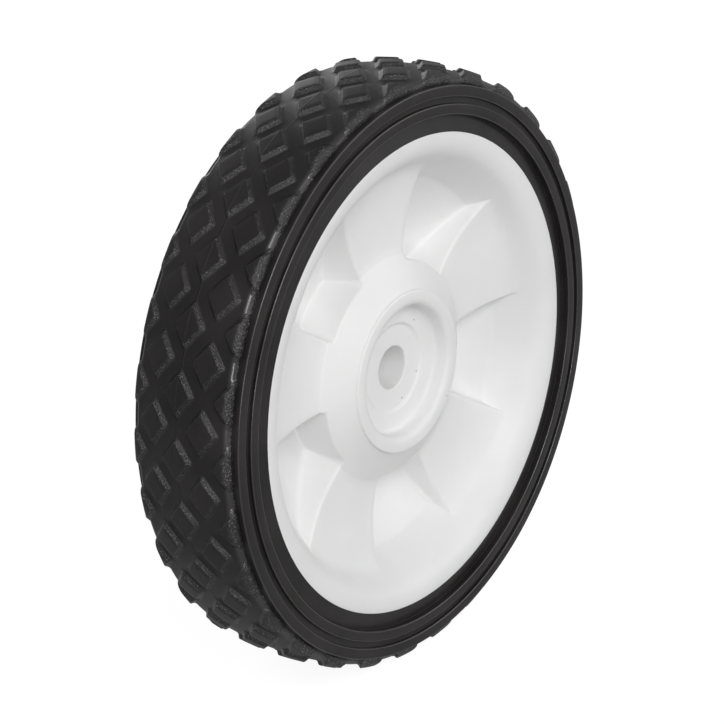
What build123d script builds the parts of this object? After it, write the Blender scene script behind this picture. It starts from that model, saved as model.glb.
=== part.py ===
# Mower wheel: a white moulded plastic hub with a black rubber tyre that has a diamond tread.
# The axle line is Y, the visible face looks along -Y and the origin is the middle of the tread.
# Depths are measured back from the hub's front edge and all lengths are in millimetres.
import os
from math import atan2, cos, radians, sin, tan
from build123d import *

# Overall sizes
tyre_diameter = 177.8
rim_width = 34.0
tyre_height = 18.4
rim_lip_width = 6.0
rim_edge_thick = 3.0
rim_channel_depth = 3.1
rim_wall = 3.2

# Axle bore and the tube behind it
bore_diameter = 12.9
tube_wall = 4.6

# Centre boss
boss_radius = 32.0
boss_edge_depth = 10.7
boss_top_depth = 5.2
boss_ring_outer = 24.2
boss_ring_inner = 19.5
boss_ring_step = 0.9
boss_face_depth = 10.4
boss_seat_radius = 13.2
boss_seat_step = 0.8
boss_ring_round = 0.8
boss_recess_round = 2.0
boss_edge_round = 0.5
boss_rib_thick = 2.6
boss_rib_depth = 12.0
rib_root = 0.6

# Dish, raised spokes and the pockets between them
spoke_count = 5
spoke_first_angle = 97.9
spoke_half_angle = 17.9
spoke_inner_depth = 11.5
spoke_middle_depth = 11.7
spoke_outer_depth = 8.2
spoke_draft = 9.0
bowl_edge_depth = 1.0
bowl_wall_lean = 33.4
bowl_edge_round = 1.6
pocket_floor_inner_depth = 24.1
pocket_floor_middle_depth = 20.6
pocket_floor_outer_depth = 14.0
hub_wall = 3.0
spoke_edge_round = 0.55
spoke_root = 1.4

# Tyre side wall, given as steps outwards from the hub edge
side_slope_width = 5.0
side_slope_depth = 1.05
side_ring_proud = 1.15
side_ring_width = 3.15
side_groove_width = 1.9
side_groove_depth = 1.25
side_outer_ring_width = 3.3
shoulder_depth = 0.9

# Diamond tread
tread_count = 30
tread_phase = 1.8
tread_depth = 1.35
tread_crown = 1.7
tread_row_pitch = 8.15
block_half_across = 5.15
block_half_around = 6.7
block_draft = 32.0
block_root = 0.5
block_proud = 0.3
shoulder_bevel = 2.4
floor_bevel = 1.6

# Sizes that follow from the ones above
front = -rim_width / 2
back = rim_width / 2
tyre_radius = tyre_diameter / 2
rim_edge_radius = tyre_radius - tyre_height
bowl_edge_radius = rim_edge_radius - rim_lip_width
floor_radius = tyre_radius - tread_depth
floor_edge_radius = floor_radius - tread_crown
channel_radius = rim_edge_radius - rim_channel_depth
bore_radius = bore_diameter / 2
tube_radius = bore_radius + tube_wall
bowl_slope = tan(radians(bowl_wall_lean))
bowl_floor_radius = bowl_edge_radius - (pocket_floor_outer_depth - bowl_edge_depth) * bowl_slope
bowl_spoke_radius = bowl_edge_radius - (spoke_outer_depth - bowl_edge_depth) * bowl_slope
floor_middle_radius = (boss_radius + bowl_floor_radius) / 2
boss_inner_radius = boss_radius - hub_wall
rim_inner_radius = channel_radius - rim_wall
rim_back_depth = bowl_edge_depth + (bowl_edge_radius - rim_inner_radius) / bowl_slope + hub_wall
boss_back_depth = boss_face_depth + boss_seat_step + hub_wall
tread_pitch = 360 / tread_count
crown_middle = tread_crown * 0.45
band_cut = tyre_radius * 0.9

os.makedirs("parts", exist_ok=True)

# One raised spoke, drawn about Z, rooted in the boss, the dish floor and the bowl wall
wall_level = -front - spoke_inner_depth
with BuildPart() as spoke:
    with BuildSketch(Plane.XZ):
        with BuildLine():
            ThreePointArc(
                (boss_radius - spoke_root, -front - spoke_inner_depth),
                ((boss_radius + bowl_spoke_radius) / 2, -front - spoke_middle_depth),
                (bowl_spoke_radius + spoke_root, -front - spoke_outer_depth),
            )
            Polyline(
                (bowl_spoke_radius + spoke_root, -front - spoke_outer_depth),
                (bowl_floor_radius + spoke_root, -front - pocket_floor_outer_depth - spoke_root),
                (floor_middle_radius, -front - pocket_floor_middle_depth - spoke_root),
                (boss_radius - spoke_root, -front - pocket_floor_inner_depth - spoke_root),
                (boss_radius - spoke_root, -front - spoke_inner_depth),
            )
        make_face()
    revolve(axis=Axis.Z)
    for side in (-1, 1):
        wall_turn = radians(spoke_half_angle) * side
        wall_plane = Plane(
            origin=(0, 0, wall_level),
            x_dir=(cos(wall_turn), sin(wall_turn), 0),
            z_dir=(
                side * sin(wall_turn) * cos(radians(spoke_draft)),
                -side * cos(wall_turn) * cos(radians(spoke_draft)),
                -sin(radians(spoke_draft)),
            ),
        )
        split(bisect_by=wall_plane, keep=Keep.TOP)
    spoke_top = spoke.faces().sort_by(Axis.Z)[-1]
    fillet(spoke_top.edges().filter_by(GeomType.CIRCLE, reverse=True), spoke_edge_round)

# Hollow behind one spoke, which leaves its top and side walls at the wall thickness
with BuildPart() as hollow:
    with BuildSketch(Plane.XZ):
        with BuildLine():
            ThreePointArc(
                (boss_inner_radius, -front - spoke_inner_depth - hub_wall),
                ((boss_radius + bowl_spoke_radius) / 2, -front - spoke_middle_depth - hub_wall),
                (bowl_spoke_radius + hub_wall, -front - spoke_outer_depth - hub_wall),
            )
            Polyline(
                (bowl_spoke_radius + hub_wall, -front - spoke_outer_depth - hub_wall),
                (bowl_spoke_radius + hub_wall, -front - pocket_floor_outer_depth - hub_wall - 6),
                (boss_inner_radius, -front - pocket_floor_inner_depth - hub_wall - 6),
                (boss_inner_radius, -front - spoke_inner_depth - hub_wall),
            )
        make_face()
    revolve(axis=Axis.Z)
    for side in (-1, 1):
        wall_turn = radians(spoke_half_angle) * side
        wall_shift = hub_wall / cos(radians(spoke_draft))
        wall_plane = Plane(
            origin=(side * sin(wall_turn) * wall_shift, -side * cos(wall_turn) * wall_shift, wall_level),
            x_dir=(cos(wall_turn), sin(wall_turn), 0),
            z_dir=(
                side * sin(wall_turn) * cos(radians(spoke_draft)),
                -side * cos(wall_turn) * cos(radians(spoke_draft)),
                -sin(radians(spoke_draft)),
            ),
        )
        split(bisect_by=wall_plane, keep=Keep.TOP)

# Hub: one moulded shell with rim, dish, spokes, boss, axle tube and ribs round the tube
with BuildPart(Plane.XZ) as hub:
    with BuildSketch(Plane.XY) as hub_section:
        with BuildLine():
            Polyline(
                (boss_radius, front + pocket_floor_inner_depth),
                (boss_radius, front + boss_edge_depth),
                (boss_ring_outer, front + boss_top_depth + boss_ring_step),
                (boss_ring_outer, front + boss_top_depth),
                (boss_ring_inner, front + boss_top_depth),
                (boss_ring_inner, front + boss_face_depth),
                (boss_seat_radius, front + boss_face_depth),
                (boss_seat_radius, front + boss_face_depth + boss_seat_step),
                (bore_radius, front + boss_face_depth + boss_seat_step),
                (bore_radius, back),
                (tube_radius, back),
                (tube_radius, front + boss_back_depth),
                (boss_inner_radius, front + boss_back_depth),
                (boss_inner_radius, front + pocket_floor_inner_depth + hub_wall),
                (boss_radius, front + pocket_floor_inner_depth + hub_wall),
            )
            ThreePointArc(
                (boss_radius, front + pocket_floor_inner_depth + hub_wall),
                (floor_middle_radius, front + pocket_floor_middle_depth + hub_wall),
                (bowl_floor_radius + hub_wall, front + pocket_floor_outer_depth + hub_wall),
            )
            Polyline(
                (bowl_floor_radius + hub_wall, front + pocket_floor_outer_depth + hub_wall),
                (rim_inner_radius, front + rim_back_depth),
                (rim_inner_radius, back),
                (rim_edge_radius, back),
                (rim_edge_radius, back - rim_edge_thick),
                (channel_radius, back - rim_edge_thick),
                (channel_radius, front + rim_edge_thick),
                (rim_edge_radius, front + rim_edge_thick),
                (rim_edge_radius, front),
                (bowl_edge_radius, front + bowl_edge_depth),
                (bowl_floor_radius, front + pocket_floor_outer_depth),
            )
            ThreePointArc(
                (bowl_floor_radius, front + pocket_floor_outer_depth),
                (floor_middle_radius, front + pocket_floor_middle_depth),
                (boss_radius, front + pocket_floor_inner_depth),
            )
        make_face()
        rounded_corners = [
            (boss_ring_inner, boss_top_depth, boss_recess_round),
            (boss_ring_outer, boss_top_depth, boss_ring_round),
            (boss_radius, boss_edge_depth, boss_edge_round),
            (bowl_edge_radius, bowl_edge_depth, bowl_edge_round),
        ]
        for radius, depth, corner_round in rounded_corners:
            fillet(hub_section.vertices().sort_by_distance((radius, front + depth, 0))[0], corner_round)
    revolve(axis=Axis.Y)
    with PolarLocations(0, spoke_count, start_angle=spoke_first_angle):
        add(spoke.part)
    with PolarLocations(0, spoke_count, start_angle=spoke_first_angle):
        add(hollow.part, mode=Mode.SUBTRACT)
    with BuildSketch(Plane.XZ.offset(-(front + boss_back_depth) + rib_root)):
        rib_middle = (tube_radius + boss_inner_radius) / 2
        with PolarLocations(rib_middle, spoke_count, start_angle=spoke_first_angle + 180 / spoke_count):
            Rectangle(boss_inner_radius - tube_radius + 2 * rib_root, boss_rib_thick)
    extrude(amount=-boss_rib_depth - rib_root)

# Outline that trims the tread blocks: a band round the tyre with bevelled shoulders
shoulder_half = rim_width / 2 - shoulder_depth + block_proud
with BuildSketch(Plane.XZ) as band_section:
    with BuildLine():
        ThreePointArc(
            (tyre_radius - tread_crown, -shoulder_half),
            (tyre_radius, 0),
            (tyre_radius - tread_crown, shoulder_half),
        )
        Polyline(
            (tyre_radius - tread_crown, shoulder_half),
            (floor_edge_radius - floor_bevel - block_root, shoulder_half),
            (floor_radius - block_root - crown_middle, tread_row_pitch * 1.4),
            (floor_radius - block_root - crown_middle, -tread_row_pitch * 1.4),
            (floor_edge_radius - floor_bevel - block_root, -shoulder_half),
            (tyre_radius - tread_crown, -shoulder_half),
        )
    make_face()
    chamfer(band_section.vertices().sort_by(Axis.X)[-2:], shoulder_bevel)

# One block each of the middle row, the row beside it and the shoulder, drawn about Z and facing +X
block_lean = atan2(block_half_across, block_half_around)
with BuildPart() as block:
    add(band_section.sketch)
    revolve(axis=Axis.Z)
    split(bisect_by=Plane.YZ.offset(band_cut), keep=Keep.TOP)
    for around in (-1, 1):
        for across in (-1, 1):
            side_plane = Plane(
                origin=(floor_radius, around * block_half_around, 0),
                x_dir=(0, -around * block_half_around, across * block_half_across),
                z_dir=(
                    -sin(radians(block_draft)),
                    -around * sin(block_lean) * cos(radians(block_draft)),
                    -across * cos(block_lean) * cos(radians(block_draft)),
                ),
            )
            split(bisect_by=side_plane, keep=Keep.TOP)

with BuildPart() as side_block:
    add(band_section.sketch)
    revolve(axis=Axis.Z)
    split(bisect_by=Plane.YZ.offset(band_cut), keep=Keep.TOP)
    for around in (-1, 1):
        for across in (-1, 1):
            side_plane = Plane(
                origin=(floor_radius, around * block_half_around, tread_row_pitch),
                x_dir=(0, -around * block_half_around, across * block_half_across),
                z_dir=(
                    -sin(radians(block_draft)),
                    -around * sin(block_lean) * cos(radians(block_draft)),
                    -across * cos(block_lean) * cos(radians(block_draft)),
                ),
            )
            split(bisect_by=side_plane, keep=Keep.TOP)

with BuildPart() as shoulder_block:
    add(band_section.sketch)
    revolve(axis=Axis.Z)
    split(bisect_by=Plane.YZ.offset(band_cut), keep=Keep.TOP)
    for around in (-1, 1):
        side_plane = Plane(
            origin=(floor_radius, around * block_half_around, 2 * tread_row_pitch),
            x_dir=(0, -around * block_half_around, -block_half_across),
            z_dir=(
                -sin(radians(block_draft)),
                -around * sin(block_lean) * cos(radians(block_draft)),
                cos(block_lean) * cos(radians(block_draft)),
            ),
        )
        split(bisect_by=side_plane, keep=Keep.TOP)

# Tyre: one moulded ring with stepped side walls and the diamond tread
ring_inner = rim_edge_radius + side_slope_width
groove_inner = ring_inner + side_ring_width
groove_outer = groove_inner + side_groove_width
ring_outer = groove_outer + side_outer_ring_width
side_face = front - side_ring_proud
front_side = [
    (channel_radius, front + rim_edge_thick),
    (rim_edge_radius, front + rim_edge_thick),
    (rim_edge_radius, front),
    (ring_inner, front + side_slope_depth),
    (ring_inner, side_face),
    (groove_inner, side_face),
    (groove_inner, side_face + side_groove_depth),
    (groove_outer, side_face + side_groove_depth),
    (groove_outer, side_face),
    (ring_outer, side_face),
    (ring_outer, front + shoulder_depth),
    (floor_edge_radius - floor_bevel, front + shoulder_depth),
    (floor_edge_radius, front + shoulder_depth + floor_bevel),
    (floor_radius, -block_half_across),
]
back_side = [(radius, -depth) for radius, depth in reversed(front_side)]
with BuildPart(Plane.XZ) as tyre:
    with BuildSketch(Plane.XY) as tyre_section:
        with BuildLine():
            Polyline(*front_side, *back_side, close=True)
        make_face()
    revolve(axis=Axis.Y)
    with PolarLocations(0, tread_count, start_angle=tread_phase):
        add(block.part)
    with PolarLocations(0, tread_count, start_angle=tread_phase + tread_pitch / 2):
        add(side_block.part)
    with PolarLocations(0, tread_count, start_angle=tread_phase + tread_pitch / 2):
        add(mirror(side_block.part, about=Plane.XY, mode=Mode.PRIVATE))
    with PolarLocations(0, tread_count, start_angle=tread_phase):
        add(shoulder_block.part)
    with PolarLocations(0, tread_count, start_angle=tread_phase):
        add(mirror(shoulder_block.part, about=Plane.XY, mode=Mode.PRIVATE))

hub.part.label = "hub"
export_step(hub.part, "parts/hub.step")
tyre.part.label = "tyre"
export_step(tyre.part, "parts/tyre.step")
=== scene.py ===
import bpy, bmesh
from math import sin, cos, tan, radians, pi, atan2
from mathutils import Matrix, Vector


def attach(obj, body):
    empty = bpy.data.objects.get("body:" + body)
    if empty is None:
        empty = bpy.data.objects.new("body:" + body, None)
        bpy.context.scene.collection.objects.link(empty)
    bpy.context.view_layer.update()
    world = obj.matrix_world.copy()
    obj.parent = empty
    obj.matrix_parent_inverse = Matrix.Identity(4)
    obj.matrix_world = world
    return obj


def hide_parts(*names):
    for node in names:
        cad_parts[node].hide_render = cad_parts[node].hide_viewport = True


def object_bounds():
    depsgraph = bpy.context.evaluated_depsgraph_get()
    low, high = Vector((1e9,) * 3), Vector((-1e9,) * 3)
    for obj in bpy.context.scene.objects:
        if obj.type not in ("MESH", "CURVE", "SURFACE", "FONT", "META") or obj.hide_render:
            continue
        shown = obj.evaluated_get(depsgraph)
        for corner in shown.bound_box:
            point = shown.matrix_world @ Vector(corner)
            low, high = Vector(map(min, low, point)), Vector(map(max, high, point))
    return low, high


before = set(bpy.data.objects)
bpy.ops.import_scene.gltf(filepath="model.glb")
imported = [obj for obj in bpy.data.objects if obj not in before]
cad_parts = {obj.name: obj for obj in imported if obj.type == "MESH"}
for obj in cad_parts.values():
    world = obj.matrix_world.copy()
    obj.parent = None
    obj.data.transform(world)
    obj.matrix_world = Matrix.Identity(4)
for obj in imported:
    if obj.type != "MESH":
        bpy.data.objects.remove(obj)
cadLow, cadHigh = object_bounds()
print("frame loaded:", sorted(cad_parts))

mm = 0.001

# small helpers for node trees

def addNode(tree, kind, place, **values):
    node = tree.nodes.new(kind)
    node.location = place
    for key, value in values.items():
        setattr(node, key, value)
    return node


def feed(tree, value, socket):
    # an output is linked to the socket, anything else is set on it
    if isinstance(value, bpy.types.NodeSocket):
        tree.links.new(value, socket)
    else:
        socket.default_value = value


def mathNode(tree, operation, place, *values):
    node = addNode(tree, "ShaderNodeMath", place, operation=operation)
    for socket, value in zip(node.inputs, values):
        feed(tree, value, socket)
    return node.outputs[0]


def rangeNode(tree, place, value, low, high, toLow=0.0, toHigh=1.0):
    node = addNode(tree, "ShaderNodeMapRange", place, interpolation_type="SMOOTHSTEP")
    tree.links.new(value, node.inputs["Value"])
    node.inputs["From Min"].default_value = low
    node.inputs["From Max"].default_value = high
    node.inputs["To Min"].default_value = toLow
    node.inputs["To Max"].default_value = toHigh
    return node.outputs["Result"]


def noiseNode(tree, place, vector, scale, detail=3.0, rough=0.55):
    node = addNode(tree, "ShaderNodeTexNoise", place)
    node.inputs["Scale"].default_value = scale
    node.inputs["Detail"].default_value = detail
    node.inputs["Roughness"].default_value = rough
    tree.links.new(vector, node.inputs["Vector"])
    return node.outputs["Fac"]


def mixColour(tree, place, factor, first, second):
    # the mix node's colour sockets are inputs 6 and 7 and output 2
    node = addNode(tree, "ShaderNodeMix", place, data_type="RGBA")
    feed(tree, factor, node.inputs[0])
    for index, value in ((6, first), (7, second)):
        feed(tree, (*value, 1) if isinstance(value, tuple) else value, node.inputs[index])
    return node.outputs[2]


def setColour(tree, place, colour, value, shader):
    node = addNode(tree, "ShaderNodeHueSaturation", place)
    tree.links.new(colour, node.inputs["Color"])
    tree.links.new(value, node.inputs["Value"])
    tree.links.new(node.outputs["Color"], shader.inputs["Base Color"])


def setBump(tree, place, height, shader):
    # heights are in metres, so strength and distance stay at one
    node = addNode(tree, "ShaderNodeBump", place)
    node.inputs["Strength"].default_value = 1.0
    node.inputs["Distance"].default_value = 1.0
    tree.links.new(height, node.inputs["Height"])
    tree.links.new(node.outputs["Normal"], shader.inputs["Normal"])


def radiusOf(tree, vector, place):
    # distance from the axle, and the place along it
    left, top = place
    split = addNode(tree, "ShaderNodeSeparateXYZ", place)
    tree.links.new(vector, split.inputs[0])
    x, y, z = split.outputs
    square = mathNode(tree, "MULTIPLY", (left + 180, top + 80), x, x)
    total = mathNode(tree, "MULTIPLY_ADD", (left + 360, top), z, z, square)
    return mathNode(tree, "SQRT", (left + 540, top), total), y


def newMaterial(name):
    material = bpy.data.materials.new(name)
    material.use_nodes = True
    tree = material.node_tree
    tree.nodes.clear()
    out = addNode(tree, "ShaderNodeOutputMaterial", (900, 0))
    shader = addNode(tree, "ShaderNodeBsdfPrincipled", (600, 0))
    tree.links.new(shader.outputs[0], out.inputs["Surface"])
    coords = addNode(tree, "ShaderNodeTexCoord", (-1200, 0))
    return material, tree, shader, coords.outputs["Object"]


# surface grain shared by rubber and plastic: fine pits, slow cloudiness and a few specks

grainInputs = {
    "Grain Scale": "grainScale", "Cloud Scale": "cloudScale",
    "Speck Scale": "speckScale", "Speck Size": "speckSize",
}

speckRarity = 0.9


def buildMouldGrain():
    group = bpy.data.node_groups.new("mouldGrain", "ShaderNodeTree")
    face = group.interface
    face.new_socket("Vector", in_out="INPUT", socket_type="NodeSocketVector")
    for name in grainInputs:
        face.new_socket(name, in_out="INPUT", socket_type="NodeSocketFloat")
    for name in ("Grain", "Cloud", "Specks"):
        face.new_socket(name, in_out="OUTPUT", socket_type="NodeSocketFloat")
    start = addNode(group, "NodeGroupInput", (-700, 0))
    end = addNode(group, "NodeGroupOutput", (500, 0))
    grain = addNode(group, "ShaderNodeTexNoise", (-400, 200))
    grain.inputs["Detail"].default_value = 2.0
    grain.inputs["Roughness"].default_value = 0.6
    cloud = addNode(group, "ShaderNodeTexNoise", (-400, -50))
    cloud.inputs["Detail"].default_value = 4.0
    speck = addNode(group, "ShaderNodeTexVoronoi", (-400, -300))
    for node, scaleName in ((grain, "Grain Scale"), (cloud, "Cloud Scale"), (speck, "Speck Scale")):
        group.links.new(start.outputs["Vector"], node.inputs["Vector"])
        group.links.new(start.outputs[scaleName], node.inputs["Scale"])
    size = start.outputs["Speck Size"]
    near = mathNode(group, "LESS_THAN", (-150, -300), speck.outputs["Distance"], size)
    pick = addNode(group, "ShaderNodeSeparateColor", (-150, -480))
    group.links.new(speck.outputs["Color"], pick.inputs["Color"])
    rare = mathNode(group, "GREATER_THAN", (50, -480), pick.outputs[0], speckRarity)
    specks = mathNode(group, "MULTIPLY", (250, -350), near, rare)
    group.links.new(grain.outputs["Fac"], end.inputs["Grain"])
    group.links.new(cloud.outputs["Fac"], end.inputs["Cloud"])
    group.links.new(specks, end.inputs["Specks"])
    return group


mouldGrain = buildMouldGrain()


def placeGrain(tree, place, vector, settings):
    node = addNode(tree, "ShaderNodeGroup", place)
    node.node_tree = mouldGrain
    tree.links.new(vector, node.inputs["Vector"])
    for name, key in grainInputs.items():
        node.inputs[name].default_value = settings[key]
    return node.outputs


# tyre rubber: smooth block tops and rings; on block sides and shoulders a rough zone whose colour is a
# painted shade dotted with painted glints; the floors of the grooves painted a little darker as a painted
# shade

rubber = dict(
    grainScale=2100.0, cloudScale=55.0, speckScale=900.0, speckSize=0.16,
    # block tops keep the rubber's colour; the next three colours paint light: a slightly darker painted
    # shade for the floors of the grooves, a dark painted shade for block sides and shoulders, and bright
    # painted glints dotted over that
    top=(0.0205, 0.0184, 0.0182), grooveShade=(0.0200, 0.0180, 0.0178),
    gritAndShade=(0.008, 0.0077, 0.0079), paintedGlint=(0.160, 0.155, 0.161), paintedGlintRange=(0.56, 0.70),
    cloudRange=(0.3, 0.7), cloudTone=(0.75, 1.25), cloudRoughness=0.12,
    roughness=0.44, gritRoughness=0.33, ringRoughness=0.36, glossRoughness=0.24,
    shine=0.26, gritShine=0.62, glossShine=0.85,
    topBump=0.000010, gritBump=0.00036,
    partingWidth=0.00018, partingFade=(0.5, 1.6), partingRise=0.0002,
)


def makeRubber():
    material, tree, shader, place = newMaterial("tyreRubber")
    grain = placeGrain(tree, (-800, 300), place, rubber)
    marks = []
    for row, name in enumerate(("gritAndShade", "low", "ring", "gloss")):
        mark = addNode(tree, "ShaderNodeAttribute", (-1200, -300 - 200 * row), attribute_name=name)
        marks.append(mark.outputs["Fac"])
    gritAndShade, low, ring, gloss = marks

    def shift(spot, mark, start, goal, level):
        return mathNode(tree, "MULTIPLY_ADD", spot, mark, rubber[goal] - rubber[start], level)

    # painted glints dotted over the dark painted shade of the rough zones
    glint = rangeNode(tree, (-500, 750), grain["Grain"], *rubber["paintedGlintRange"])
    shadeAndGlints = mixColour(tree, (-380, 600), glint, rubber["gritAndShade"], rubber["paintedGlint"])
    base = mixColour(tree, (-250, 400), gritAndShade, rubber["top"], shadeAndGlints)
    # the floors of the grooves and the feet of the blocks get a slightly darker painted shade
    base = mixColour(tree, (-50, 400), low, base, rubber["grooveShade"])
    cloudy = rangeNode(tree, (-500, 500), grain["Cloud"], *rubber["cloudRange"], *rubber["cloudTone"])
    setColour(tree, (150, 400), base, cloudy, shader)

    rough = shift((-250, 100), gritAndShade, "roughness", "gritRoughness", rubber["roughness"])
    rough = shift((-100, 100), ring, "roughness", "ringRoughness", rough)
    rough = shift((0, 0), gloss, "ringRoughness", "glossRoughness", rough)
    rough = mathNode(tree, "MULTIPLY_ADD", (80, 100), grain["Cloud"], rubber["cloudRoughness"], rough)
    rough = mathNode(tree, "SUBTRACT", (240, 100), rough, rubber["cloudRoughness"] / 2)
    tree.links.new(rough, shader.inputs["Roughness"])

    rise = shift((-250, -150), gritAndShade, "topBump", "gritBump", rubber["topBump"])
    height = mathNode(tree, "MULTIPLY", (-80, -150), grain["Grain"], rise)
    split = addNode(tree, "ShaderNodeSeparateXYZ", (-800, -150))
    tree.links.new(place, split.inputs[0])
    off = mathNode(tree, "ABSOLUTE", (-600, -150), split.outputs["Y"])
    core, skirt = [rubber["partingWidth"] * share for share in rubber["partingFade"]]
    seam = rangeNode(tree, (-420, -150), off, core, skirt, 1.0, 0.0)
    height = mathNode(tree, "MULTIPLY_ADD", (100, -150), seam, rubber["partingRise"], height)
    setBump(tree, (350, -150), height, shader)

    shine = shift((-250, -350), gritAndShade, "shine", "gritShine", rubber["shine"])
    shine = shift((-80, -350), gloss, "shine", "glossShine", shine)
    tree.links.new(shine, shader.inputs["Specular IOR Level"])
    return material


# hub plastic: satin white with turned marks on the pocket floors and a few specks near the boss

plastic = dict(
    grainScale=1800.0, cloudScale=26.0, speckScale=420.0, speckSize=0.10,
    body=(0.87, 0.872, 0.868), shade=(0.82, 0.823, 0.82), cloudRange=(0.35, 0.7),
    speck=(0.30, 0.27, 0.24), speckFade=(0.027, 0.020),
    roughness=0.46, cloudRoughness=0.16, specular=0.5, grainRise=0.0000035,
    turnedPitch=0.00074, turnedRise=0.000009, turnedTone=0.016, wearScale=60.0, wearRange=(0.4, 0.65),
    pocketInner=(0.0335, 0.0345), pocketOuter=(0.0570, 0.0550), pocketLevel=(-0.0045, -0.0030),
    softWeight=0.12, softRadius=(1.0, 0.95, 0.9), softScale=0.003,
)


def turnedMarks(tree, place, radius, along):
    turns = mathNode(tree, "MULTIPLY", (-300, -200), radius, 2 * pi / plastic["turnedPitch"])
    wave = mathNode(tree, "SINE", (-120, -200), turns)
    wear = noiseNode(tree, (-500, -450), place, plastic["wearScale"])
    worn = rangeNode(tree, (-300, -450), wear, *plastic["wearRange"])
    wave = mathNode(tree, "MULTIPLY", (40, -200), wave, worn)
    inner = rangeNode(tree, (-300, -650), radius, *plastic["pocketInner"])
    outer = rangeNode(tree, (-300, -850), radius, *plastic["pocketOuter"])
    deep = rangeNode(tree, (-300, -1050), along, *plastic["pocketLevel"])
    pocket = mathNode(tree, "MULTIPLY", (-100, -750), inner, outer)
    pocket = mathNode(tree, "MULTIPLY", (50, -850), pocket, deep)
    return mathNode(tree, "MULTIPLY", (200, -300), wave, pocket)


def makePlastic():
    material, tree, shader, place = newMaterial("hubPlastic")
    grain = placeGrain(tree, (-800, 300), place, plastic)
    radius, along = radiusOf(tree, place, (-1000, -200))
    wave = turnedMarks(tree, place, radius, along)

    cloudy = rangeNode(tree, (-500, 500), grain["Cloud"], *plastic["cloudRange"])
    base = mixColour(tree, (-250, 400), cloudy, plastic["body"], plastic["shade"])
    nearBoss = rangeNode(tree, (-300, 650), radius, *plastic["speckFade"])
    speck = mathNode(tree, "MULTIPLY", (-100, 600), grain["Specks"], nearBoss)
    base = mixColour(tree, (60, 400), speck, base, plastic["speck"])
    tone = mathNode(tree, "MULTIPLY_ADD", (200, 250), wave, plastic["turnedTone"], 1.0)
    setColour(tree, (380, 400), base, tone, shader)

    lowest = plastic["roughness"] - plastic["cloudRoughness"] / 2
    rough = mathNode(tree, "MULTIPLY_ADD", (60, 150), grain["Cloud"], plastic["cloudRoughness"], lowest)
    tree.links.new(rough, shader.inputs["Roughness"])
    height = mathNode(tree, "MULTIPLY", (320, -300), wave, plastic["turnedRise"])
    height = mathNode(tree, "MULTIPLY_ADD", (440, -300), grain["Grain"], plastic["grainRise"], height)
    setBump(tree, (440, -100), height, shader)

    shader.inputs["Specular IOR Level"].default_value = plastic["specular"]
    shader.inputs["Subsurface Weight"].default_value = plastic["softWeight"]
    shader.inputs["Subsurface Radius"].default_value = plastic["softRadius"]
    shader.inputs["Subsurface Scale"].default_value = plastic["softScale"]
    return material


tyreRubber = makeRubber()
hubPlastic = makePlastic()
print("materials ready")

# helpers for the two mouldings

weldDistance = 0.004 * mm

repeatInputs = {
    "Geometry": "NodeSocketGeometry", "Sectors": "NodeSocketInt",
    "Weld": "NodeSocketFloat", "Material": "NodeSocketMaterial",
}


def roundCorners(points, rounds, steps):
    path = []
    for index, (corner, size) in enumerate(zip(points, rounds)):
        corner = Vector(corner)
        if not size or index in (0, len(points) - 1):
            path.append(corner)
            continue
        before = (Vector(points[index - 1]) - corner).normalized()
        after = (Vector(points[index + 1]) - corner).normalized()
        for step in range(steps + 1):
            t = step / steps
            path.append(corner + before * size * (1 - t) ** 2 + after * size * t ** 2)
    return path


def bend(first, corner, last, t):
    return first * (1 - t) ** 2 + corner * 2 * t * (1 - t) + last * t ** 2


def placeMesh(mesh, name):
    data = bpy.data.meshes.new(name)
    mesh.to_mesh(data)
    mesh.free()
    part = bpy.data.objects.new(name, data)
    bpy.context.scene.collection.objects.link(part)
    return part


def buildRepeatRoundAxle():
    tree = bpy.data.node_groups.new("repeatRoundAxle", "GeometryNodeTree")
    face = tree.interface
    for name, kind in repeatInputs.items():
        face.new_socket(name, in_out="INPUT", socket_type=kind)
    face.new_socket("Geometry", in_out="OUTPUT", socket_type="NodeSocketGeometry")
    start = addNode(tree, "NodeGroupInput", (-900, 0))
    line = addNode(tree, "GeometryNodeMeshLine", (-650, 200))
    line.inputs["Offset"].default_value = (0, 0, 0)
    tree.links.new(start.outputs["Sectors"], line.inputs["Count"])
    place = addNode(tree, "GeometryNodeInstanceOnPoints", (-400, 100))
    tree.links.new(line.outputs["Mesh"], place.inputs["Points"])
    tree.links.new(start.outputs["Geometry"], place.inputs["Instance"])
    index = addNode(tree, "GeometryNodeInputIndex", (-900, -250))
    turn = mathNode(tree, "DIVIDE", (-700, -250), 2 * pi, start.outputs["Sectors"])
    turn = mathNode(tree, "MULTIPLY", (-500, -250), turn, index.outputs[0])
    axis = addNode(tree, "ShaderNodeCombineXYZ", (-320, -250))
    tree.links.new(turn, axis.inputs["Y"])
    spin = addNode(tree, "GeometryNodeRotateInstances", (-150, 100))
    tree.links.new(place.outputs["Instances"], spin.inputs["Instances"])
    tree.links.new(axis.outputs[0], spin.inputs["Rotation"])
    spin.inputs["Local Space"].default_value = False
    real = addNode(tree, "GeometryNodeRealizeInstances", (80, 100))
    tree.links.new(spin.outputs["Instances"], real.inputs["Geometry"])
    weld = addNode(tree, "GeometryNodeMergeByDistance", (280, 100))
    tree.links.new(real.outputs["Geometry"], weld.inputs["Geometry"])
    tree.links.new(start.outputs["Weld"], weld.inputs["Distance"])
    paint = addNode(tree, "GeometryNodeSetMaterial", (480, 100))
    tree.links.new(weld.outputs["Geometry"], paint.inputs["Geometry"])
    tree.links.new(start.outputs["Material"], paint.inputs["Material"])
    end = addNode(tree, "NodeGroupOutput", (680, 100))
    tree.links.new(paint.outputs["Geometry"], end.inputs["Geometry"])
    return tree


repeatRoundAxle = buildRepeatRoundAxle()


def setInput(modifier, name, value):
    for item in modifier.node_group.interface.items_tree:
        if item.item_type == "SOCKET" and item.in_out == "INPUT" and item.name == name:
            modifier[item.identifier] = value


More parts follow.
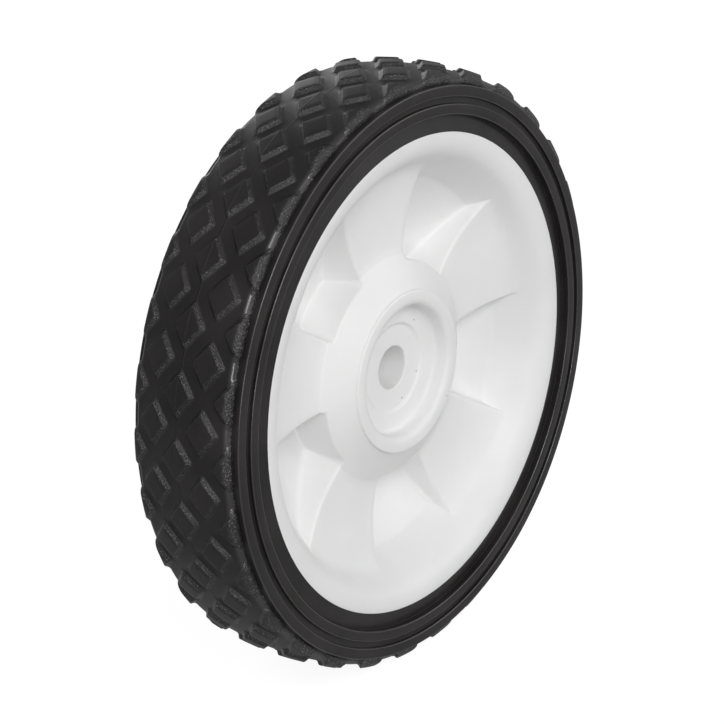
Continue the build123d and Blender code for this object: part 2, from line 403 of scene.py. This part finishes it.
def settle(part, name):
    bpy.context.view_layer.update()
    graph = bpy.context.evaluated_depsgraph_get()
    shown = part.evaluated_get(graph)
    mesh = bpy.data.meshes.new_from_object(shown, preserve_all_data_layers=True, depsgraph=graph)
    mesh.name = name
    part.modifiers.clear()
    part.data = mesh
    part.name = name


def finishPiece(part, name, sectors, material, sharpAngle, sliver=0.0):
    # repeat the sector round the axle, then weld, turn normals outward and smooth
    repeat = part.modifiers.new("repeatRoundAxle", "NODES")
    repeat.node_group = repeatRoundAxle
    setInput(repeat, "Sectors", sectors)
    setInput(repeat, "Weld", weldDistance)
    setInput(repeat, "Material", material)
    settle(part, name)
    mesh = bmesh.new()
    mesh.from_mesh(part.data)
    if sliver:
        bmesh.ops.dissolve_degenerate(mesh, dist=sliver, edges=mesh.edges)
    bmesh.ops.recalc_face_normals(mesh, faces=mesh.faces)
    openEdges = sum(1 for edge in mesh.edges if len(edge.link_faces) != 2)
    mesh.to_mesh(part.data)
    mesh.free()
    for polygon in part.data.polygons:
        polygon.use_smooth = True
    part.data.set_sharp_from_angle(angle=radians(sharpAngle))
    part.data.materials.clear()
    part.data.materials.append(material)
    print(name, "faces", len(part.data.polygons), "open edges", openEdges)
    return part


# tyre: one sector with its tread blocks and side walls, in millimetres, laid flat and then wrapped

tyre = dict(
    count=30, phase=1.8, rows=(-2, -1, 0, 1, 2), rowPitch=8.15,
    halfAround=6.7, halfAcross=5.15, depth=1.35, draft=32.0, cornerCut=0.09, tipPull=0.55,
    footRound=0.45, footCurve=(0.35, 0.55), edgeRound=0.26, edgeCurve=(0.12, 0.22, 0.75), topRing=1.6,
    floorRadius=87.54, crown=1.7, crownHalf=16.4,
    shoulderStart=14.36, shoulderRound=2.1, shoulderEnd=17.7, proud=0.3,
    shoulderCuts=(14.36, 14.9, 15.4, 15.9, 16.8, 17.3), cutsPerPitch=8, cutSnap=0.0005, onLine=0.002,
    cellWeld=0.001, cutWeld=0.0008,
    mouth=2.2, gritFade=0.8, glossStart=0.3, glossSunk=0.8, sharpAngle=42,
)

tyreSide = dict(
    points=[
        (84.0, 16.1), (83.85, 16.1), (83.85, 18.15), (80.55, 18.15), (80.55, 16.9), (78.65, 16.9),
        (78.65, 18.15), (75.5, 18.15), (75.5, 15.95), (70.5, 17.0), (70.5, 14.0), (67.4, 14.0),
    ],
    rounds=[0, 0.12, 0.4, 0.42, 0.2, 0.2, 0.42, 0.4, 0.2, 0.05, 0, 0],
    steps=4, polishedFrom=0.4,
)


def blockRing(halfAround, halfAcross, tipPull):
    # a rhombus with a point on each side of its tips, which are pulled in to be blunt
    corners = ((halfAround, 0), (0, halfAcross), (-halfAround, 0), (0, -halfAcross))
    tips = [Vector(corner) for corner in corners]
    ring = []
    for index, tip in enumerate(tips):
        left = tip.lerp(tips[index - 1], tyre["cornerCut"])
        right = tip.lerp(tips[(index + 1) % 4], tyre["cornerCut"])
        ring += [left, tip.lerp((left + right) / 2, tipPull), right]
    return ring


def crownAt(across):
    # how far the tread floor has dropped there, and how it tilts
    drop = tyre["crown"] * (across / tyre["crownHalf"]) ** 2
    return drop, atan2(2 * tyre["crown"] * across / tyre["crownHalf"] ** 2, 1)


def wrapPoint(around, across, height):
    side = 1 if across >= 0 else -1
    reach = abs(across)
    start = tyre["shoulderStart"]
    if reach <= start:
        drop, tilt = crownAt(reach)
        radius = tyre["floorRadius"] - drop + height * cos(tilt)
        width = reach + height * sin(tilt)
    else:
        drop, startTilt = crownAt(start)
        t = min((reach - start) / (tyre["shoulderEnd"] - start), 1)
        tilt = startTilt + (pi / 2 - startTilt) * t
        fade = 1 - t * (1 - tyre["proud"] / tyre["depth"])
        swing = tyre["shoulderRound"] + height * fade
        radius = tyre["floorRadius"] - drop - tyre["shoulderRound"] * cos(startTilt) + swing * cos(tilt)
        width = start - tyre["shoulderRound"] * sin(startTilt) + swing * sin(tilt)
    angle = around / tyre["floorRadius"] + radians(tyre["phase"])
    return Vector((radius * cos(angle), side * width, radius * sin(angle))) * mm


def addCell(mesh, layers, centre, pitch):
    around, across = tyre["halfAround"], tyre["halfAcross"]
    lean = atan2(across, around)

    def grown(distance):  # rhombus pushed out by a distance square to its sides
        return around + distance / sin(lean), across + distance / cos(lean)

    foot, edge, depth, pull = tyre["footRound"], tyre["edgeRound"], tyre["depth"], tyre["tipPull"]
    footIn, footUp = tyre["footCurve"]
    edgeIn, edgeDown, edgeEnd = tyre["edgeCurve"]
    slope = tan(radians(tyre["draft"]))
    inset = depth * slope
    levels = [  # half sizes, height, pull of the tips, mark for the rough zone and its painted shade and glints, mark for the slightly darker painted shade of floors and feet
        ((pitch, tyre["rowPitch"]), 0.0, 0.0, 0.0, 1.0),
        (grown(foot), 0.0, pull, 0.0, 1.0),
        (grown(-foot * footIn), foot * footUp, pull, 1.0, 0.5),
        (grown(-(depth - edge) * slope), depth - edge, pull, 1.0, 0.0),
        (grown(-inset - edge * edgeIn), depth - edge * edgeDown, pull, 0.4, 0.0),
        (grown(-inset - edge * edgeEnd), depth, pull, 0.0, 0.0),
        (grown(-inset - tyre["topRing"]), depth, pull, 0.0, 0.0),
    ]
    rings = []
    for halves, height, tipPull, gritAndShade, low in levels:
        row = []
        for point in blockRing(*halves, tipPull):
            vert = mesh.verts.new((point.x + centre[0], point.y + centre[1], height))
            vert[layers["gritAndShade"]] = gritAndShade
            vert[layers["low"]] = low
            row.append(vert)
        rings.append(row)
    for lower, upper in zip(rings, rings[1:]):
        for index in range(len(lower)):
            after = (index + 1) % len(lower)
            mesh.faces.new((lower[index], lower[after], upper[after], upper[index]))
    mesh.faces.new(rings[-1])


def cutMesh(mesh, place, normal, clearOuter=False):
    everything = mesh.verts[:] + mesh.edges[:] + mesh.faces[:]
    bmesh.ops.bisect_plane(mesh, geom=everything, dist=tyre["cutSnap"], plane_co=place,
                           plane_no=normal, clear_outer=clearOuter)


def layTread(mesh, layers, pitch):
    for row in tyre["rows"]:
        addCell(mesh, layers, (pitch * (row % 2), row * tyre["rowPitch"]), pitch)
    bmesh.ops.remove_doubles(mesh, verts=mesh.verts, dist=tyre["cellWeld"])
    limit = tyre["rows"][-1] * tyre["rowPitch"]
    for side in (-1, 1):  # shoulder blocks are half blocks, drawn out over the shoulder
        cutMesh(mesh, (0, side * limit, 0), (0, side, 0), clearOuter=True)
        rim = [e for e in mesh.edges if all(abs(v.co.y - side * limit) < tyre["onLine"] for v in e.verts)]
        for thing in bmesh.ops.extrude_edge_only(mesh, edges=rim)["geom"]:
            if isinstance(thing, bmesh.types.BMVert):
                thing.co.y = side * tyre["shoulderEnd"]
    for level in tyre["shoulderCuts"]:
        for side in (-1, 1):
            cutMesh(mesh, (0, side * level, 0), (0, 1, 0))
    cuts = tyre["cutsPerPitch"]
    step = 2 * pitch / cuts
    for index in range(-cuts, 2 * cuts + 1):
        cutMesh(mesh, (index * step, 0, 0), (1, 0, 0))
    bmesh.ops.remove_doubles(mesh, verts=mesh.verts, dist=tyre["cutWeld"])


def wrapTread(mesh, layers):
    # past the shoulder's start the rough zone begins, painted dark as a painted shade and dotted with
    # painted glints, and it begins later in the grooves, whose smooth mouths shine
    for vert in mesh.verts:
        past = abs(vert.co.y) - tyre["shoulderStart"]
        sunk = 1 - vert.co.z / tyre["depth"]
        gritAndShade = min(max(past - tyre["mouth"] * sunk, 0) / tyre["gritFade"], 1)
        gloss = min(max(past - tyre["glossStart"], 0), 1) * (1 - gritAndShade) * (sunk > tyre["glossSunk"])
        vert[layers["gritAndShade"]] = max(vert[layers["gritAndShade"]], gritAndShade)
        vert[layers["low"]] *= 1 - gritAndShade
        vert[layers["gloss"]] = gloss
        vert[layers["ring"]] = gloss
        vert.co = wrapPoint(*vert.co)


def addSideWalls(mesh, layers, ends, angles):
    path = roundCorners(tyreSide["points"], tyreSide["rounds"], tyreSide["steps"])
    path = [(r, y) for r, y in path] + [(r, -y) for r, y in reversed(path)]
    polished = []
    for size in tyreSide["rounds"]:  # the moulded ring edges are smoother than the faces
        last = tyreSide["steps"] if size else 0
        polished += [float(size >= tyreSide["polishedFrom"] and 0 < step < last) for step in range(last + 1)]
    polished += polished[::-1]
    rows = [ends[1]]
    for index, (radius, width) in enumerate(path):
        atTread = index in (0, len(path) - 1)
        row = []
        for angle in angles:
            vert = mesh.verts.new(Vector((radius * cos(angle), width, radius * sin(angle))) * mm)
            vert[layers["ring"]] = 0.0 if atTread else 1.0
            vert[layers["gritAndShade"]] = 1.0 if atTread else 0.0
            vert[layers["gloss"]] = polished[index]
            row.append(vert)
        rows.append(row)
    rows.append(ends[-1])
    for first, second in zip(rows, rows[1:]):
        for k in range(len(angles) - 1):
            mesh.faces.new((first[k], first[k + 1], second[k + 1], second[k]))


def buildSector():
    mesh = bmesh.new()
    layers = {name: mesh.verts.layers.float.new(name) for name in ("gritAndShade", "low", "ring", "gloss")}
    pitch = pi * tyre["floorRadius"] / tyre["count"]
    layTread(mesh, layers, pitch)
    ends = {}
    for side in (-1, 1):
        row = [v for v in mesh.verts if abs(v.co.y - side * tyre["shoulderEnd"]) < tyre["onLine"]]
        ends[side] = sorted(row, key=lambda v: v.co.x)
    angles = [v.co.x / tyre["floorRadius"] + radians(tyre["phase"]) for v in ends[1]]
    wrapTread(mesh, layers)
    addSideWalls(mesh, layers, ends, angles)
    bmesh.ops.remove_doubles(mesh, verts=mesh.verts, dist=tyre["cellWeld"] * mm)
    return placeMesh(mesh, "tyreSector")


wheelTyre = finishPiece(buildSector(), "wheelTyre", tyre["count"], tyreRubber, tyre["sharpAngle"])

# hub: one fifth of the moulding, front and back, in millimetres behind its front edge

hub = dict(
    spokes=5, firstSpoke=97.9, halfAngle=17.9, draft=9.0, wall=3.0, back=34.0,
    edgeRadius=70.5, lipThick=3.0, channelRadius=67.4, rimInner=64.2,
    bowlEdge=(64.5, 1.0), bowlLean=33.4, bowlRound=3.4, bowlSearch=(46.0, 64.0), searchSteps=40,
    coneStart=(24.2, 6.1), bossRadius=32.0, bossEdge=10.7, tubeRadius=11.05, boreRadius=6.45,
    floor=((32.0, 24.1), (43.96, 20.6), (55.93, 14.0)),
    top=((32.0, 11.5), (45.9, 11.7), (59.75, 8.2)), leastRise=0.4, roundShare=0.35,
    topRound=0.95, footRound=1.6, wallRound=0.9, wallShare=0.45, outerRound=0.8, spokeRound=2.4,
    bossRound=0.5, bossShare=0.4, bossBlend=1.7, hollowLead=0.9, hollowDrop=1.0, hollowFade=1.6,
    lipCorner=((0.12, 0.02), (0.03, 0.05), (0.0, 0.14)),
    edgeSteps=4, topSteps=8, floorSteps=8, runSteps=9, riseSteps=5,
    bossSteps=3, bendSteps=4, outerSteps=5, wallSteps=4, lipSteps=8,
    weld=0.002, sliver=0.001, sharpAngle=40,
)

hubBack = dict(
    lipStart=1.0, channelRound=0.2, backRound=0.5, rimRun=4.0, rimStep=0.5, rimGap=0.05, runGap=0.3,
    bossBack=14.2, bossChamfer=0.4, boreEnd=20.0, tubeRounds=[0, 0, 0.6, 0.4, 0.3, 0],
    wallSteps=4, riseSteps=3, cornerSteps=2,
    ribThick=2.6, ribDepth=12.0, ribSink=0.6,
)

bossProfile = dict(
    points=[
        (hub["boreRadius"], 12.2), (hub["boreRadius"], 11.2), (12.9, 11.2), (13.6, 10.4), (19.5, 10.4),
        (19.5, 5.2), (24.2, 5.2), hub["coneStart"], (hub["bossRadius"], hub["bossEdge"]),
    ],
    rounds=[0, 0.5, 0.5, 0.5, 1.3, 2.1, 0.55, 0.3, 0],
    steps=4,
)


def curveThrough(points, radius):
    (x0, y0), (x1, y1), (x2, y2) = points
    return (y0 * (radius - x1) * (radius - x2) / ((x0 - x1) * (x0 - x2))
            + y1 * (radius - x0) * (radius - x2) / ((x1 - x0) * (x1 - x2))
            + y2 * (radius - x0) * (radius - x1) / ((x2 - x0) * (x2 - x1)))


def bowlRadius(depth, shift):
    radius, edge = hub["bowlEdge"]
    return radius + shift - (depth - edge) * tan(radians(hub["bowlLean"]))


def crossSection(radius, backSide):
    # half a spoke and half a pocket at one radius: turn in radians from the spoke's middle, and depth
    shift = hub["wall"] if backSide else 0.0
    top = curveThrough(hub["top"], radius) + shift
    floor = max(curveThrough(hub["floor"], radius) + shift, top + hub["leastRise"])
    edge = radians(hub["halfAngle"]) * radius - shift / cos(radians(hub["draft"]))
    foot = edge + (floor - top) * tan(radians(hub["draft"]))
    half = pi / hub["spokes"] * radius
    roundTop = min(hub["topRound"], (floor - top) * hub["roundShare"])
    roundFoot = min(hub["footRound"], (floor - top) * hub["roundShare"])
    turns = [((edge - roundTop) * k / hub["topSteps"], top) for k in range(hub["topSteps"] + 1)]
    outline = [(0, top), (edge, top), (foot, floor), (half, floor)]
    corner = roundCorners(outline, [0, roundTop, roundFoot, 0], hub["edgeSteps"])
    turns += [(x, y) for x, y in corner[2:-1]]
    start = turns[-1][0]
    for k in range(1, hub["floorSteps"] + 1):
        turns.append((start + (half - start) * k / hub["floorSteps"], floor))
    return [(x / radius, y) for x, y in turns]


def outerRadius(station, backSide):
    # where a station's run meets the bowl wall
    shift = hub["wall"] if backSide else 0.0
    low, high = hub["bowlSearch"]
    for _ in range(hub["searchSteps"]):
        middle = (low + high) / 2
        depth = crossSection(middle, backSide)[station][1]
        if bowlRadius(depth, shift) > middle:
            low = middle
        else:
            high = middle
    return (low + high) / 2


def coneSlope():
    radius, depth = hub["coneStart"]
    return Vector((hub["bossRadius"] - radius, hub["bossEdge"] - depth)).normalized()


def bossStep(station, drop, wallRound):
    # the boss edge, its wall and the round at the wall's foot
    inner, top, slope = hub["bossRadius"], hub["bossEdge"], coneSlope()
    turn, depth = crossSection(inner, False)[station]
    firstTurn, firstDepth = crossSection(inner + wallRound, False)[station]
    edgeRound = min(hub["bossRound"], drop * hub["bossShare"])
    step = []
    for k in range(hub["bossSteps"] + 1):
        t = k / hub["bossSteps"]
        p = Vector((inner, top)) - slope * hub["bossRound"] * (1 - t) ** 2
        p += Vector((0, 1)) * edgeRound * t ** 2
        step.append((p.x, p.y, turn))
    wallTop, wallEnd = top + edgeRound, depth - wallRound
    for k in range(1, hub["riseSteps"]):
        step.append((inner, wallTop + (wallEnd - wallTop) * k / hub["riseSteps"], turn))
    first, corner = Vector((inner, wallEnd)), Vector((inner, depth))
    last = Vector((inner + wallRound, firstDepth))
    for k in range(hub["bendSteps"] + 1):
        t = k / hub["bendSteps"]
        p = bend(first, corner, last, t)
        step.append((p.x, p.y, turn + (firstTurn - turn) * t))
    return step


def softenStep(station, drop, soft, step):
    # on a spoke the boss runs out in a soft hollow instead of a step
    inner, slope = hub["bossRadius"], coneSlope()
    blendEnd = inner + hub["bossBlend"]
    first = Vector((inner, hub["bossEdge"])) - slope * hub["hollowLead"]
    corner = Vector((inner + drop * slope.x / slope.y, crossSection(inner, False)[station][1]))
    last = Vector((blendEnd, crossSection(blendEnd, False)[station][1]))
    softened = []
    for k, (radius, depth, turn) in enumerate(step):
        hollow = bend(first, corner, last, k / (len(step) - 1))
        p = Vector((radius, depth)).lerp(hollow, soft)
        softTurn = crossSection(max(p.x, inner), False)[station][0]
        softened.append((p.x, p.y, turn + (softTurn - turn) * soft))
    return softened


def bowlWall(station, outer, outerRound, runEnd):
    # from the end of the run up the bowl wall and over the rim to the hub's edge
    turn, depth = crossSection(outer, False)[station]
    radius, lastDepth, lastTurn = runEnd
    fold, lip = Vector(hub["bowlEdge"]), Vector((hub["edgeRadius"], 0.0))
    wallDir = Vector((fold.x - outer, fold.y - depth)).normalized()
    lipDir = (lip - fold).normalized()
    first, corner = Vector((radius, lastDepth)), Vector((outer, depth))
    chain = []
    for k in range(1, hub["outerSteps"] + 1):
        t = k / hub["outerSteps"]
        p = bend(first, corner, corner + wallDir * outerRound, t)
        chain.append((p.x, p.y, lastTurn + (turn - lastTurn) * t))
    wallLow, wallHigh = Vector(chain[-1][:2]), fold - wallDir * hub["bowlRound"]
    for k in range(1, hub["wallSteps"] + 1):
        p = wallLow.lerp(wallHigh, k / hub["wallSteps"])
        chain.append((p.x, p.y, turn))
    for k in range(1, hub["lipSteps"] + 1):
        t = k / hub["lipSteps"]
        p = fold - wallDir * hub["bowlRound"] * (1 - t) ** 2 + lipDir * hub["bowlRound"] * t ** 2
        chain.append((p.x, p.y, turn))
    return chain + [(lip.x - inward, lip.y + down, turn) for inward, down in hub["lipCorner"]]


def frontChain(station):
    # radius, depth and turn from the bore over boss, pocket or spoke, and bowl to the edge
    inner, outer = hub["bossRadius"], outerRadius(station, False)
    innerTurn, innerDepth = crossSection(inner, False)[station]
    drop = innerDepth - hub["bossEdge"]
    wallRound = min(hub["wallRound"], drop * hub["wallShare"])
    soft = 1 - min(max((drop - hub["hollowDrop"]) / hub["hollowFade"], 0), 1)
    boss = roundCorners(bossProfile["points"], bossProfile["rounds"], bossProfile["steps"])[:-1]
    chain = [(r, y, innerTurn) for r, y in boss]
    chain += softenStep(station, drop, soft, bossStep(station, drop, wallRound))
    outerRound = hub["outerRound"] + (hub["spokeRound"] - hub["outerRound"]) * soft
    runStart = inner + wallRound + (hub["bossBlend"] - wallRound) * soft
    runEnd = outer - outerRound
    for k in range(1, hub["runSteps"] + 1):
        radius = runStart + (runEnd - runStart) * k / hub["runSteps"]
        turn, depth = crossSection(radius, False)[station]
        chain.append((radius, depth, turn))
    return chain + bowlWall(station, outer, outerRound, chain[-1])


def rimProfile():
    # the channel that holds the tyre, and the back edge
    edge, channel, rim, back = hub["edgeRadius"], hub["channelRadius"], hub["rimInner"], hub["back"]
    lip, small, large = hub["lipThick"], hubBack["channelRound"], hubBack["backRound"]
    points = [
        (edge, hubBack["lipStart"]), (edge, lip), (channel, lip), (channel, back - lip),
        (edge, back - lip), (edge, back), (rim, back), (rim, back - hubBack["rimRun"]),
    ]
    return roundCorners(points, [0, small, small, small, small, large, large, 0], hubBack["cornerSteps"])


def tubeProfile():
    # the underside of the boss and the axle tube, down into the bore
    inner, tube, bore = hub["bossRadius"] - hub["wall"], hub["tubeRadius"], hub["boreRadius"]
    level, chamfer, back = hubBack["bossBack"], hubBack["bossChamfer"], hub["back"]
    points = [
        (inner, level + chamfer), (inner - chamfer, level), (tube, level), (tube, back),
        (bore, back), (bore, hubBack["boreEnd"]),
    ]
    return roundCorners(points, hubBack["tubeRounds"], hubBack["cornerSteps"])


def backChain(station, rimTurn):
    # radius, depth and turn from the edge over the channel and the hollow back to the bore
    wall, rim = hub["wall"], hub["rimInner"]
    inner, outer = hub["bossRadius"] - wall, outerRadius(station, True)
    outerTurn, outerDepth = crossSection(outer, True)[station]
    chain = [(r, y, rimTurn) for r, y in rimProfile()]
    bowlX, bowlY = hub["bowlEdge"]
    rimDepth = bowlY + (bowlX + wall - rim) / tan(radians(hub["bowlLean"]))
    meet = max(outerDepth, rimDepth + hubBack["rimStep"])
    chain.append((rim, rimDepth, outerTurn))
    for k in range(1, hubBack["wallSteps"]):
        depth = rimDepth + (meet - rimDepth) * k / hubBack["wallSteps"]
        radius = min(bowlRadius(depth, wall), rim - hubBack["rimGap"] * k)
        chain.append((radius, depth, outerTurn))
    runStart = min(outer, rim - hubBack["runGap"])
    for k in range(hub["runSteps"] + 1):
        radius = runStart + (inner - runStart) * k / hub["runSteps"]
        turn, depth = crossSection(radius, True)[station]
        chain.append((radius, depth, turn))
    innerDepth, innerTurn = chain[-1][1:]
    rise = hubBack["bossBack"] + hubBack["bossChamfer"] - innerDepth
    for k in range(1, hubBack["riseSteps"] + 1):
        chain.append((inner, innerDepth + rise * k / hubBack["riseSteps"], innerTurn))
    return chain + [(r, y, innerTurn) for r, y in tubeProfile()]


def addRib(mesh, angle):
    # one rib between the axle tube and the boss wall, in the middle of a pocket
    sink, level = hubBack["ribSink"], hubBack["bossBack"]
    outward, across = Vector((cos(angle), 0, sin(angle))), Vector((-sin(angle), 0, cos(angle)))
    corners = []
    for along in (hub["tubeRadius"] - sink, hub["bossRadius"] - hub["wall"] + sink):
        for side in (-1, 1):
            for depth in (level - sink, level + hubBack["ribDepth"]):
                spot = outward * along + across * side * hubBack["ribThick"] / 2
                spot += Vector((0, depth - hub["back"] / 2, 0))
                corners.append(mesh.verts.new(spot * mm))
    bmesh.ops.convex_hull(mesh, input=corners)


def buildFifth():
    mesh = bmesh.new()
    columns = []
    for station in range(len(crossSection(hub["bossRadius"], False))):
        front = frontChain(station)
        columns.append(front + backChain(station, front[-1][2]))
    start = radians(hub["firstSpoke"])
    for sign in (1, -1):
        grid = []
        for column in columns:
            row = []
            for radius, depth, turn in column:
                angle = start + sign * turn
                spot = Vector((radius * cos(angle), depth - hub["back"] / 2, radius * sin(angle)))
                row.append(mesh.verts.new(spot * mm))
            grid.append(row)
        for left, right in zip(grid, grid[1:]):
            for k in range(len(left)):
                after = (k + 1) % len(left)
                mesh.faces.new((left[k], right[k], right[after], left[after]))
    bmesh.ops.remove_doubles(mesh, verts=mesh.verts, dist=hub["weld"] * mm)
    addRib(mesh, start + pi / hub["spokes"])
    return placeMesh(mesh, "hubFifth")


wheelHub = finishPiece(buildFifth(), "wheelHub", hub["spokes"], hubPlastic, hub["sharpAngle"],
                       sliver=hub["sliver"] * mm)

for piece, node, slot in ((wheelTyre, "tyre", "tyre_rubber"), (wheelHub, "hub", "hub_plastic")):
    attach(piece, "root")
    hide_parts(node)
for node, material in (("tyre", tyreRubber), ("hub", hubPlastic)):
    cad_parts[node].data.materials.clear()
    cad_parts[node].data.materials.append(material)
print("pieces joined to the frame")

# floor, light and camera

studio = dict(
    floorSize=8.0, floorWhite=0.50, floorSeen=0.22, floorGlow=0.92, worldLight=0.28, glossyShare=0.2,
)

lamps = {
    "keyLight": dict(towards=(-0.55, -0.64, 0.53), distance=1.7, size=0.9, power=9.4),
    "edgeLight": dict(towards=(-0.56, -0.66, 0.50), distance=1.7, size=0.3, power=1.4),
    "topLight": dict(towards=(-0.12, -0.80, 0.58), distance=1.8, size=1.2, power=3.0),
    "frontLight": dict(towards=(-0.68, -0.73, -0.04), distance=1.7, size=0.5, power=6.6),
    "rightLight": dict(towards=(0.60, -0.76, 0.25), distance=1.8, size=1.2, power=5.7),
    "backLight": dict(towards=(0.50, 0.80, 0.35), distance=1.9, size=1.2, power=5.0),
}

view = dict(
    lens=115.9, sensor=36.0, shift=-0.0014, place=(-0.51315, -0.38501, 0.22406),
    right=(0.60501, -0.79623, 0), up=(0.26198, 0.19907, 0.94434), back=(-0.75190, -0.57132, 0.32903),
)


def seenShare(tree, place):
    # camera and transmission rays see the full white, glossy rays a share of it
    left, top = place
    path = addNode(tree, "ShaderNodeLightPath", place)
    camera, through = path.outputs["Is Camera Ray"], path.outputs["Is Transmission Ray"]
    direct = mathNode(tree, "MAXIMUM", (left + 200, top), camera, through)
    glossy = path.outputs["Is Glossy Ray"]
    dimmed = mathNode(tree, "MULTIPLY", (left + 200, top + 170), glossy, studio["glossyShare"])
    return mathNode(tree, "MAXIMUM", (left + 380, top), direct, dimmed)


def diffuse(tree, place, level):
    node = addNode(tree, "ShaderNodeBsdfDiffuse", place)
    node.inputs["Color"].default_value = (level, level, level, 1)
    return node.outputs[0]


def makeFloor():
    mesh = bmesh.new()
    bmesh.ops.create_grid(mesh, x_segments=4, y_segments=4, size=studio["floorSize"] / 2)
    bmesh.ops.translate(mesh, verts=mesh.verts, vec=(0, 0, cadLow.z))
    floor = placeMesh(mesh, "studioFloor")
    material = bpy.data.materials.new("floorWhite")
    material.use_nodes = True
    tree = material.node_tree
    tree.nodes.clear()
    out = addNode(tree, "ShaderNodeOutputMaterial", (600, 0))
    glow = addNode(tree, "ShaderNodeEmission", (-200, -300))
    glow.inputs["Strength"].default_value = studio["floorGlow"]
    both = addNode(tree, "ShaderNodeAddShader", (50, -200))
    tree.links.new(diffuse(tree, (-200, -150), studio["floorSeen"]), both.inputs[0])
    tree.links.new(glow.outputs[0], both.inputs[1])
    mix = addNode(tree, "ShaderNodeMixShader", (300, 0))
    tree.links.new(seenShare(tree, (-400, 300)), mix.inputs[0])
    tree.links.new(diffuse(tree, (-200, 0), studio["floorWhite"]), mix.inputs[1])
    tree.links.new(both.outputs[0], mix.inputs[2])
    tree.links.new(mix.outputs[0], out.inputs["Surface"])
    floor.data.materials.append(material)


def makeWorld():
    world = bpy.data.worlds.new("studioWorld")
    bpy.context.scene.world = world
    world.use_nodes = True
    tree = world.node_tree
    tree.nodes.clear()
    out = addNode(tree, "ShaderNodeOutputWorld", (400, 0))
    sky = addNode(tree, "ShaderNodeBackground", (150, 0))
    sky.inputs["Color"].default_value = (1, 1, 1, 1)
    seen, light = seenShare(tree, (-650, 0)), studio["worldLight"]
    level = mathNode(tree, "MULTIPLY_ADD", (-100, 0), seen, 1.0 - light, light)
    tree.links.new(level, sky.inputs["Strength"])
    tree.links.new(sky.outputs[0], out.inputs["Surface"])


def makeLamp(name, values):
    lamp = bpy.data.lights.new(name, "AREA")
    lamp.shape = "DISK"
    lamp.size = values["size"]
    lamp.energy = values["power"]
    holder = bpy.data.objects.new(name, lamp)
    bpy.context.scene.collection.objects.link(holder)
    towards = Vector(values["towards"]).normalized()
    holder.location = towards * values["distance"]
    holder.rotation_euler = towards.to_track_quat("Z", "Y").to_euler()


def makeCamera():
    lens = bpy.data.cameras.new("photoCamera")
    lens.lens = view["lens"]
    lens.sensor_width = view["sensor"]
    lens.shift_x = view["shift"]
    camera = bpy.data.objects.new("photoCamera", lens)
    bpy.context.scene.collection.objects.link(camera)
    turn = Matrix((view["right"], view["up"], view["back"])).transposed().to_4x4()
    camera.matrix_world = Matrix.Translation(view["place"]) @ turn
    bpy.context.scene.camera = camera


makeFloor()
makeWorld()
for lampName, lampValues in lamps.items():
    makeLamp(lampName, lampValues)
makeCamera()
bpy.context.scene.view_settings.view_transform = "Standard"
print("stage ready")
